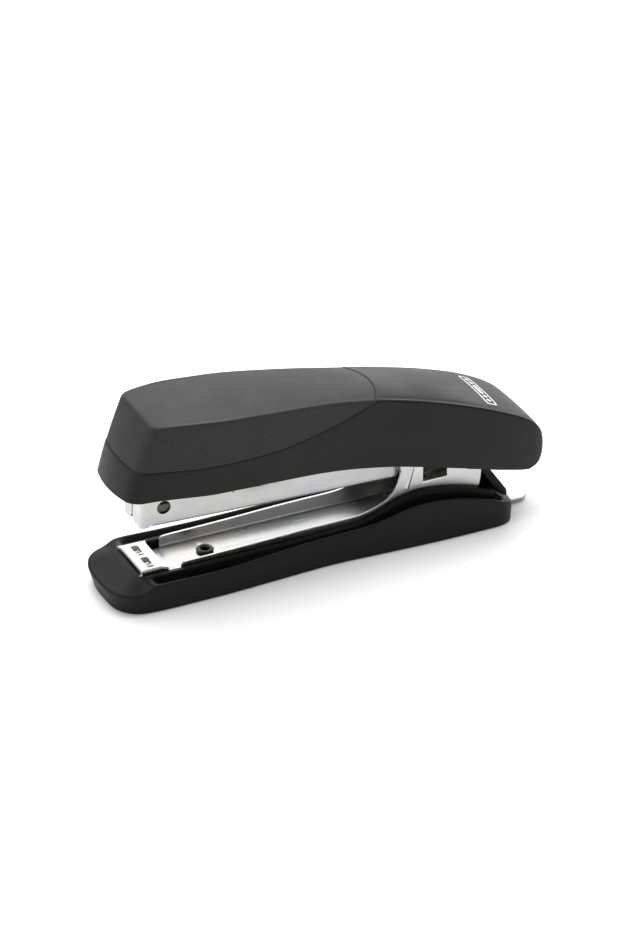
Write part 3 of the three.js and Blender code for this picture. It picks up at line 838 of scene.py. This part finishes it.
def magazine_pressing():
    """The magazine: floor and walls from one sheet, with two cheeks turned in at the nose."""
    half, under, top = MAG["half"], MAG["under"], MAG["top"]
    corner, bend, slit, low_round = 1.3, 1.0, 0.35, 2.3
    cheek, turn, side = 12, 6, 84
    upper = Route((NOSE + corner, top), (-60, top), (-14, top), (-8, 4.2), (-3, 5.1), (1, 5.45), (4, 4.2),
                  (5.5, 0.6), (5.0, -2.4), (3.5, -4.2))
    lower = Route((NOSE + corner, under), (-60, under), (-28.5, under), (-26.8, -8.4), (-26, -6.8),
                  (-26, -4.4), (-22, -4.2), (-10, -4.2), (3.5, -4.2))
    bm = bmesh.new()

    def plan(station):
        """The wall's x, y and lowest height at a station."""
        if station <= cheek:
            y = mix(slit, half - corner, station / cheek)
            lift = max(low_round - (y - slit), 0)
            return NOSE, y, under + low_round - math.sqrt(low_round ** 2 - lift ** 2)
        angle = min(station - cheek, turn) / turn * math.pi / 2
        x = NOSE + corner - corner * math.cos(angle)
        return x, half - corner + corner * math.sin(angle), under

    def wall(station, row):
        share = row / 10
        if station <= cheek + turn:
            x, y, low = plan(station)
            return Vector((x, y, mix(low, top, share)))
        along = (station - cheek - turn) / side
        low_x, low_z = lower(lower.length * along)
        top_x, top_z = upper(upper.length * along)
        if MAG["floor_front"] <= low_x <= MAG["floor_end"] and low_z < under + 0.05:
            low_z = under + bend
        return Vector((mix(low_x, top_x, share), half, mix(low_z, top_z, share)))

    grid(bm, cheek + turn + side, 10, wall)
    bases = [wall(station, 0) for station in range(cheek + turn + side + 1)]
    floor_columns = [p.x for p in bases if abs(p.z - under - bend) < 0.001]

    def floor(column, row):
        x = floor_columns[column]
        if row == 0:
            return Vector((x, 0, under))
        angle = math.pi / 2 * (row - 1) / 5
        return Vector((x, half - bend + bend * math.sin(angle), under + bend - bend * math.cos(angle)))

    grid(bm, len(floor_columns) - 1, 6, floor)
    whole(bm)
    sheet = thickened(bm, 0.7)
    hole = cylinder(2.5, (-114.4, -12, -2.2), (-114.4, 12, -2.2))
    return cut(sheet, hole)


def staples():
    """A stick of staples: wires side by side, glued, each with a rounded back."""
    wire, outer, foot, crown = 0.5, 6.4, -7.85, -1.4
    front = NOSE + 2.4
    count = 63
    bm = bmesh.new()
    outline = [(0, crown), (outer - 0.55, crown), (outer - 0.15, crown - 0.15), (outer, crown - 0.55),
               (outer, foot), (outer - wire, foot), (outer - wire, crown - 0.9), (outer - 0.9, crown - wire),
               (0, crown - wire)]
    ridge = (0.1, 0.02, 0, 0.02)

    def place(column, row):
        y, z = outline[row]
        sink = ridge[column % 4]
        y_in = -sink if 1 < row < 5 else (sink if 4 < row < 8 else 0)
        z_in = -sink if row < 3 else (sink if row > 6 else 0)
        return Vector((front + wire * column / 4, max(y + y_in, 0), z + z_in))

    grid(bm, count * 4, len(outline) - 1, place)
    whole(bm)
    return bm


def coil(radius, wire, start, end, turns, height, first_turn=0.0):
    """A coil of round wire along X, from start to end, its axis at a height."""
    steps, sides = round(turns * 20), 8
    bm = bmesh.new()

    def place(column, row):
        x = mix(start, end, column / steps)
        turn = math.tau * (column / 20 + first_turn)
        around = math.tau * row / sides
        out = radius + wire * math.cos(around)
        return Vector((x + wire * math.sin(around), out * math.sin(turn), height + out * math.cos(turn)))

    grid(bm, steps, sides, place)
    return closed(bm)


def closed(bm):
    """A rolled-up sheet with its seam joined and its ends filled."""
    bmesh.ops.remove_doubles(bm, verts=bm.verts, dist=0.002)
    bmesh.ops.holes_fill(bm, edges=[e for e in bm.edges if e.is_boundary], sides=0)
    bmesh.ops.recalc_face_normals(bm, faces=bm.faces)
    return bm


def rod(points, radius):
    """A round wire through points in an upright plane along X, with rounded bends."""
    sides = 12
    run = []
    for before, point, after in zip([None] + points, points, points[1:] + [None]):
        point = Vector(point)
        if before is None or after is None:
            run.append(point)
            continue
        back, ahead = Vector(before) - point, Vector(after) - point
        near = min(back.length, ahead.length) * 0.45
        first, last = point + back.normalized() * near, point + ahead.normalized() * near
        run += interpolate_bezier(first, first.lerp(point, 0.6), last.lerp(point, 0.6), last, 7)
    bm = bmesh.new()

    def place(column, row):
        along = (run[min(column + 1, len(run) - 1)] - run[max(column - 1, 0)]).normalized()
        around = math.tau * row / sides
        up = along.cross(Vector((0, 1, 0)))
        return run[column] + (up * math.cos(around) + Vector((0, 1, 0)) * math.sin(around)) * radius

    grid(bm, len(run) - 1, sides, place)
    return closed(bm)


def return_coil():
    """The lifting spring: close coils, a few turns pulled open towards the nose, and two hook ends."""
    wire, radius, height = 0.34, 1.36, 17.0
    close = coil(radius, wire, 45.3, 50.6, 7.5, height)
    collar = coil(radius + 0.2, wire, 44.9, 45.5, 1, height)
    opened = coil(radius, wire, 42.3, 44.9, 2.5, height, 0.5)
    front = rod([(42.3, 0, height + radius), (41.0, 0, height + 1.9), (38.0, 0, height + 2.8),
                 (35.3, 0, height + 3.2), (35.1, 0, height + 2.4)], wire)
    rear = rod([(50.6, 0, height - radius), (51.4, 0, height - 0.9), (51.6, 0, height + 0.6),
                (50.9, 0, height + 1.3)], wire)
    spring = joined(close, collar, opened, front, rear)
    tilt = Matrix.Rotation(math.radians(-3), 4, "Y")
    spring.transform(Matrix.Translation((47, 0, height)) @ tilt @ Matrix.Translation((-47, 0, -height)))
    return spring


def tongue_blade():
    """The staple remover: a flat steel tongue with a round tip."""
    half, tip_x = 4.4, 77.9
    arc = [(tip_x + 4.0 * math.sin(t * math.pi / 24), half * math.cos(t * math.pi / 24)) for t in range(25)]
    return slab([(40.5, half)] + arc + [(40.5, -half)], 1.1, 2.0, 0.2, across="Z")


def softened(node, radius):
    """A copy of a CAD node with its flats joined up and its corners rounded, in millimetres."""
    bm = bmesh.new()
    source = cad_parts[node]
    bm.from_mesh(source.data)
    bm.transform(Matrix.Scale(1 / MM, 4) @ source.matrix_world)
    bmesh.ops.remove_doubles(bm, verts=bm.verts, dist=0.002)
    bmesh.ops.dissolve_limit(bm, angle_limit=math.radians(1.5), verts=bm.verts, edges=bm.edges)
    return rounded(bm, radius, 35)


def arm_top(x):
    """The height of the pressed arm's top."""
    line = ((-64, 53), (-20, 48.6), (20, 44), (48, 40.4))
    for (x0, z0), (x1, z1) in zip(line, line[1:]):
        if x <= x1 or x1 == line[-1][0]:
            return mix(z0, z1, (x - x0) / (x1 - x0))


def hinge_pin():
    """The riveted axle, with a domed head on each ear."""
    head = CHANNEL["half"] + 0.05
    dome = [(2.0, 0), (3.2, 0), (3.2, 0.25), (2.7, 0.8), (1.6, 1.15), (0, 1.25)]
    profile = [(r, -head - h) for r, h in reversed(dome)] + [(r, head + h) for r, h in dome]
    return turned(profile, PIVOT, axis="Y")


def rivet(x, y, z_low, z_high):
    """A riveted stud with a low dome at each end."""
    dome = [(1.15, -0.02), (2.1, 0), (1.7, 0.4), (0.9, 0.7), (0, 0.75)]
    profile = [(r, z_low - h) for r, h in reversed(dome)] + [(r, z_high + h) for r, h in dome]
    return turned(profile, (x, y, 0), steps=28)


def rod_and_coil():
    """The pusher's guide rod, with its head behind the bracket, and the coil around it."""
    steel = turned([(0, 0), (0.7, 0), (0.8, 0.1), (0.8, 94.55), (1.5, 94.55), (1.6, 94.65), (1.6, 95.7),
                    (1.4, 95.85), (0, 95.9)], (0, 0, 0), steps=24)
    steel.transform(Matrix.Translation((-116.3, 0, ROD_Z)) @ Matrix.Rotation(math.pi / 2, 4, "Y"))
    radius, wire, front, rear, closed_end = 1.58, 0.3, -73.3, -20.5, 1.3
    stretches = ((front + closed_end, rear - closed_end, 27), (front, front + closed_end, 2),
                 (rear - closed_end, rear, 2))
    spring = [coil(radius, wire, start, end, turns, ROD_Z) for start, end, turns in stretches]
    return steel, joined(*spring)


def nose_rivets():
    """The two studs that hold the blade under the arm."""
    top = arm_top(-57.5)
    return joined(*(rivet(-57.5, y, top - SHEET - 1.4, top) for y in (4, -4)))


def leaf_pressing():
    """The leaf under the arm, its bow pressed as flat as the lowest handle leaves it."""
    bm = softened("handle_spring", 0.12)
    bow_starts, flattened = SHEET + 1.35, 0.7
    for vert in bm.verts:
        bow = arm_top(vert.co.x) - bow_starts - vert.co.z
        vert.co.z += max(bow, 0) * flattened
    return bm


# ---------- badge ----------
BADGE_X, BADGE_Z, BADGE_HALF, BADGE_RISE = 62.1, 0.06, 11.3, 2.35


def on_lid(along, y):
    """A point just over the rear of the lid: along the slope from the badge's middle, and across."""
    at = crease.reach(BADGE_X) + along
    x, z = crease(at)
    normal = crease.normal(at)
    out = y / (top_width(x) - CREASE_RADIUS)
    lift = crown(at) * (1 - out * out) + BADGE_Z
    return Vector((x + normal[0] * lift, y, z + normal[1] * lift))


def badge():
    """A printed mark: a rounded frame round a bar and four small diamonds."""
    bm = bmesh.new()

    def loop(half_wide, half_high, power, turn):
        """A point a share of the way round a rounded rectangle, or round a diamond if power is over 1."""
        c, s = math.cos(math.tau * turn), math.sin(math.tau * turn)
        return half_high * math.copysign(abs(s) ** power, s), half_wide * math.copysign(abs(c) ** power, c)

    def border(column, row):
        inset = 0.5 * row / 2
        return on_lid(*loop(BADGE_HALF - inset, BADGE_RISE - inset, 0.22, column / 120))

    grid(bm, 120, 2, border)
    bar, diamond = (3.4, 0.75, 0.35), (0.95, 1.0, 1.5)
    for centre in (0, 5.4, -5.4, 8.3, -8.3):

        def mark(column, row):
            along, y = loop(*(diamond if centre else bar), column / 32)
            return on_lid(along * row / 4, centre + y * row / 4)

        grid(bm, 32, 4, mark)
    bmesh.ops.remove_doubles(bm, verts=bm.verts, dist=0.003)
    bmesh.ops.dissolve_degenerate(bm, edges=bm.edges, dist=0.0005)
    for face in bm.faces:
        if face.normal.z < 0:
            face.normal_flip()
    return thickened(bm, 0.14)


# ---------- finishes ----------
class Value:
    """A node's output that can be added to, multiplied or taken from a number."""

    def __init__(self, finish, socket):
        self.finish = finish
        self.socket = socket

    def worked_out(self, operation, first, second):
        return self.finish.node("ShaderNodeMath", {"operation": operation}, {0: first, 1: second})

    def __add__(self, other):
        return self.worked_out("ADD", self, other)

    __radd__ = __add__

    def __rsub__(self, other):
        return self.worked_out("SUBTRACT", other, self)

    def __mul__(self, other):
        return self.worked_out("MULTIPLY", self, other)


class Finish:
    """A surface finish: a principled shader and the nodes that vary it."""

    def __init__(self, name, **constants):
        self.material = bpy.data.materials.new(name)
        self.material.use_nodes = True
        self.tree = self.material.node_tree
        self.shader = self.tree.nodes["Principled BSDF"]
        for key, value in constants.items():
            self.shader.inputs[key.replace("_", " ")].default_value = value
        self.place = self.node("ShaderNodeTexCoord", output="Object")

    def node(self, kind, settings=None, sockets=None, output=0):
        """Adds a node: its settings, then the values or links of its sockets. Gives one output."""
        made = self.tree.nodes.new(kind)
        for key, value in (settings or {}).items():
            setattr(made, key, value)
        for key, value in (sockets or {}).items():
            self.join(made.inputs[key], value)
        return Value(self, made.outputs[output])

    def join(self, socket, value):
        """Sets a socket to a plain value, or links it."""
        if isinstance(value, Value):
            self.tree.links.new(value.socket, socket)
        else:
            socket.default_value = value

    def noise(self, scale, detail=3.0, roughness=0.55, stretch=(1, 1, 1), distortion=0.0):
        """Cloudy noise, from 0 to 1. Scale counts the patches in a metre."""
        placed = self.node("ShaderNodeMapping", None, {"Vector": self.place, "Scale": stretch})
        sockets = {"Vector": placed, "Scale": scale, "Detail": detail, "Roughness": roughness,
                   "Distortion": distortion}
        return self.node("ShaderNodeTexNoise", None, sockets)

    def band(self, value, low, high):
        """0 below low, 1 above high and smooth between."""
        settings = {"interpolation_type": "SMOOTHSTEP", "clamp": True}
        sockets = {"Value": value, "From Min": low, "From Max": high}
        return self.node("ShaderNodeMapRange", settings, sockets)

    def colour(self, share, first, second):
        """A mix of two colours, each plain or linked."""
        first, second = ((*c, 1) if isinstance(c, tuple) else c for c in (first, second))
        sockets = {0: share, 6: first, 7: second}
        return self.node("ShaderNodeMix", {"data_type": "RGBA"}, sockets, output=2)

    def bump(self, height, strength, distance, below=None):
        """A normal from a height, on top of another normal if there is one."""
        sockets = {"Height": height, "Strength": strength, "Distance": distance}
        if below:
            sockets["Normal"] = below
        return self.node("ShaderNodeBump", None, sockets)

    def done(self, colour, rough, normal):
        self.join(self.shader.inputs["Base Color"], colour)
        self.join(self.shader.inputs["Roughness"], rough)
        self.join(self.shader.inputs["Normal"], normal)
        return self.material


def moulded_plastic(name, dark, light, grain_size, grain_depth, smoothest, roughest, gloss):
    """Moulded plastic: a fine grain, handled patches that are a little smoother, and faint scuffs."""
    finish = Finish(name, Specular_IOR_Level=gloss)
    grain = finish.noise(1 / grain_size, 2.0, 0.6)
    fine = finish.noise(2.6 / grain_size, 1.0, 0.5)
    handled = finish.band(finish.noise(38, 3.0), 0.42, 0.66)
    scuffs = finish.band(finish.noise(210, 4.0, 0.7, (1, 6, 2.5), 0.4), 0.70, 0.78)
    dust = finish.band(finish.noise(1500, 2.0), 0.70, 0.78)
    tone = finish.colour(finish.band(grain, 0.35, 0.68), dark, light)
    shade = finish.colour(handled * 0.22, tone, tuple(c * 0.72 for c in dark))
    worn = finish.colour(scuffs * 0.10 + dust * 0.05, shade, tuple(c * 2.6 for c in light))
    rough = smoothest + (1 - handled) * (roughest - smoothest) + grain * 0.06 + scuffs * 0.05
    normal = finish.bump(grain * 0.7 + fine * 0.3, 0.55, grain_depth)
    waves = finish.bump(finish.noise(26, 1.0), 0.10, 0.0012, normal)
    return finish.done(worn, rough, waves)


def bright_steel(name, cool, warm, smoothest, roughest, stretch):
    """Plated sheet steel: rolling lines along it, cloudy tints, fine scratches and small specks."""
    finish = Finish(name, Metallic=1.0)
    lines = finish.noise(330, 4.0, 0.65, stretch)
    clouds = finish.noise(55, 3.0, 0.6, (1, 1, 1), 0.6)
    patches = finish.noise(17, 2.0)
    scratches = finish.band(finish.noise(700, 2.0, 0.5, tuple(s * 0.5 for s in stretch), 0.2), 0.66, 0.70)
    specks = finish.band(finish.noise(620, 1.0), 0.765, 0.80)
    tint = finish.colour(finish.band(clouds, 0.36, 0.64), cool, warm)
    lined = finish.colour(finish.band(lines, 0.30, 0.72) * 0.30, tint, tuple(c * 0.78 for c in warm))
    marked = finish.colour(specks * 0.75, lined, (0.09, 0.075, 0.06))
    worn = finish.band(patches, 0.35, 0.65) * (roughest - smoothest)
    rough = smoothest + worn + lines * 0.08 + scratches * 0.12
    normal = finish.bump(lines, 0.20, 0.00006)
    dents = finish.bump(finish.noise(60, 2.0), 0.16, 0.0006, normal)
    scored = finish.bump(scratches, 0.10, 0.00003, dents)
    return finish.done(marked, rough, scored)


def spring_wire(name, dark, light, smoothest, roughest, metal=1.0):
    """Drawn or blackened steel: darker and lighter patches and a fine drawn grain."""
    finish = Finish(name, Metallic=metal)
    patches = finish.noise(190, 3.0, 0.6)
    grain = finish.noise(1900, 2.0, 0.5, (1, 2.5, 2.5))
    tint = finish.colour(finish.band(patches, 0.35, 0.65), dark, light)
    drawn = finish.colour(grain * 0.35, tint, tuple(c * 0.6 for c in dark))
    rough = smoothest + patches * (roughest - smoothest) + grain * 0.08
    return finish.done(drawn, rough, finish.bump(grain, 0.25, 0.00004))


def printed_ink(name, ink):
    """Pad-printed ink, a little thin in places."""
    finish = Finish(name, Specular_IOR_Level=0.35)
    thin = finish.band(finish.noise(900, 3.0), 0.58, 0.74)
    grain = finish.noise(2600, 1.0)
    tone = finish.colour(thin * 0.22, ink, tuple(c * 0.45 for c in ink))
    return finish.done(tone, 0.42 + grain * 0.14, finish.bump(grain, 0.2, 0.00003))


def table_top():
    """The plain pale table."""
    finish = Finish("pale_table", Specular_IOR_Level=0.2)
    cloud = finish.noise(4, 2.0)
    tone = finish.colour(cloud, (0.86, 0.86, 0.855), (0.88, 0.88, 0.875))
    return finish.done(tone, 0.75 + cloud * 0.05, finish.bump(cloud, 0.02, 0.0001))


cover_black = moulded_plastic(
    "cover_black", (0.0066, 0.0063, 0.0058), (0.0112, 0.0106, 0.0097), 0.00042, 0.00007, 0.34, 0.44, 0.20)
base_black = moulded_plastic(
    "base_black", (0.0064, 0.0062, 0.0057), (0.0108, 0.0104, 0.0096), 0.00040, 0.00006, 0.36, 0.46, 0.13)
panel_grey = moulded_plastic(
    "panel_grey", (0.0180, 0.0197, 0.0186), (0.0285, 0.0310, 0.0292), 0.00048, 0.00010, 0.46, 0.56, 0.22)
sheet_steel = bright_steel(
    "sheet_steel", (0.52, 0.54, 0.56), (0.59, 0.575, 0.545), 0.20, 0.34, (0.12, 1, 1))
magazine_steel = bright_steel(
    "magazine_steel", (0.44, 0.46, 0.50), (0.52, 0.505, 0.475), 0.22, 0.36, (0.12, 1, 1))
anvil_steel = bright_steel(
    "anvil_steel", (0.58, 0.575, 0.56), (0.64, 0.62, 0.58), 0.20, 0.32, (1, 0.12, 1))
tongue_steel = bright_steel(
    "tongue_steel", (0.50, 0.50, 0.485), (0.57, 0.56, 0.54), 0.30, 0.42, (0.1, 1, 1))
wire_steel = bright_steel(
    "wire_steel", (0.56, 0.575, 0.60), (0.60, 0.60, 0.585), 0.24, 0.34, (1, 1, 0.2))
coil_brown = spring_wire("coil_brown", (0.36, 0.285, 0.22), (0.62, 0.51, 0.42), 0.30, 0.42, 0.35)
leaf_steel = spring_wire("leaf_steel", (0.17, 0.165, 0.16), (0.30, 0.29, 0.28), 0.24, 0.36)
eyelet_black = moulded_plastic(
    "eyelet_black", (0.010, 0.010, 0.010), (0.020, 0.019, 0.018), 0.00030, 0.00004, 0.22, 0.34, 0.55)
staple_steel = spring_wire("staple_steel", (0.11, 0.10, 0.088), (0.18, 0.17, 0.15), 0.30, 0.42)
white_ink = printed_ink("white_ink", (0.80, 0.80, 0.785))


# ---------- assembly ----------
def assemble_handle():
    ribs = [cover_rib(x) for x in (-45.2, -1.2, 30.8)]
    cover = joined(thickened(cover_skin(), COVER_WALL), *ribs)
    panel = thickened(panel_skin(), PANEL_WALL)
    leaf_rivet = rivet(-16, 0, arm_top(-16) - SHEET - 1.3, arm_top(-16))
    piece("cover_moulding", cover, "handle", cover_black, ["top_cover"])
    piece("panel_moulding", panel, "handle", panel_grey, ["cover_panel"])
    piece("badge_print", badge(), "handle", white_ink)
    piece("arm_pressing", softened("handle_arm", 0.2), "handle", sheet_steel, ["handle_arm"])
    piece("blade_pressing", softened("driver_blade", 0.12), "handle", leaf_steel,
          ["driver_blade"])
    piece("blade_rivets", nose_rivets(), "handle", wire_steel,
          ["driver_rivet_left", "driver_rivet_right"])
    piece("leaf_pressing", leaf_pressing(), "handle", leaf_steel, ["handle_spring"])
    piece("leaf_rivet", leaf_rivet, "handle", wire_steel, ["spring_rivet"])


def assemble_base():
    piece("base_moulding", base_moulding(), "base", base_black, ["base_shell"])
    piece("channel_pressing", channel_pressing(), "base", sheet_steel, ["base_channel"])
    piece("anvil_pressing", anvil_pressing(), "base", anvil_steel, ["anvil_plate"])
    piece("eyelet_at_nose", eyelet(EYELETS[0]), "base", eyelet_black, ["front_eyelet"])
    piece("eyelet_at_pivot", eyelet(EYELETS[1]), "base", eyelet_black, ["rear_eyelet"])
    piece("return_coil", return_coil(), "base", coil_brown, ["return_spring"])
    piece("tongue_blade", tongue_blade(), "base", tongue_steel, ["remover_tongue"])
    piece("hinge_axle", hinge_pin(), "base", wire_steel, ["pivot_pin"])


def assemble_magazine():
    guide, spring = rod_and_coil()
    piece("magazine_pressing", magazine_pressing(), "magazine", magazine_steel,
          ["magazine_channel"], MAGAZINE)
    piece("staple_stick", staples(), "magazine", staple_steel, ["staple_strip"], MAGAZINE)
    piece("rail_pressing", softened("staple_rail", 0.2), "magazine", sheet_steel,
          ["staple_rail"])
    piece("bracket_pressing", softened("rear_bracket", 0.15), "magazine", sheet_steel,
          ["rear_bracket"])
    piece("guide_wire", guide, "magazine", wire_steel, ["guide_rod"], MAGAZINE)
    pusher_coil = piece("pusher_coil", spring, "magazine", coil_brown, ["pusher_spring"],
                        MAGAZINE)
    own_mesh(pusher_coil)
    piece("follower", softened("pusher", 0.15), "pusher", eyelet_black, ["pusher"])


assemble_handle()
assemble_base()
assemble_magazine()


# ---------- table, camera and light ----------
def add_table():
    bm = bmesh.new()
    bmesh.ops.create_grid(bm, x_segments=1, y_segments=1, size=4)
    table = shaped("table", bm)
    table.data.materials.append(table_top())


def add_camera():
    back = Vector((-0.3757, -0.7841, 0.4939)).normalized()
    data = bpy.data.cameras.new("camera")
    data.lens = 162.4
    data.sensor_width = 36
    data.clip_end = 20
    camera = bpy.data.objects.new("camera", data)
    camera.location = Vector((-0.0021, 0, 0.0323)) + back * 1.442
    camera.rotation_euler = (-back).to_track_quat("-Z", "Y").to_euler()
    bpy.context.scene.collection.objects.link(camera)
    bpy.context.scene.camera = camera


def add_softbox(name, place, aim, size, power):
    """A soft rectangular lamp that faces a point."""
    lamp = bpy.data.lights.new(name, "AREA")
    lamp.shape = "RECTANGLE"
    lamp.size, lamp.size_y = size
    lamp.energy = power
    softbox = bpy.data.objects.new(name, lamp)
    softbox.location = place
    softbox.rotation_euler = (Vector(aim) - Vector(place)).to_track_quat("-Z", "Y").to_euler()
    bpy.context.scene.collection.objects.link(softbox)


def add_room(strength):
    world = bpy.data.worlds.new("room")
    world.use_nodes = True
    background = world.node_tree.nodes["Background"]
    background.inputs["Color"].default_value = (1, 1, 1, 1)
    background.inputs["Strength"].default_value = strength
    bpy.context.scene.world = world


add_table()
add_camera()
add_softbox("overhead", (0.05, 0.2, 0.95), (0, 0, 0), (1.4, 1.0), 17)
add_softbox("far_low", (1.0, 1.35, 0.42), (0, 0, 0.03), (1.5, 0.5), 6.5)
add_softbox("far_high", (0.45, 1.2, 0.85), (0, 0, 0.03), (1.5, 0.8), 5.5)
add_softbox("nose_side", (-1.3, -0.1, 0.6), (0, 0, 0.03), (0.8, 0.6), 4)
add_room(0.40)
bpy.context.scene.view_settings.view_transform = "Standard"
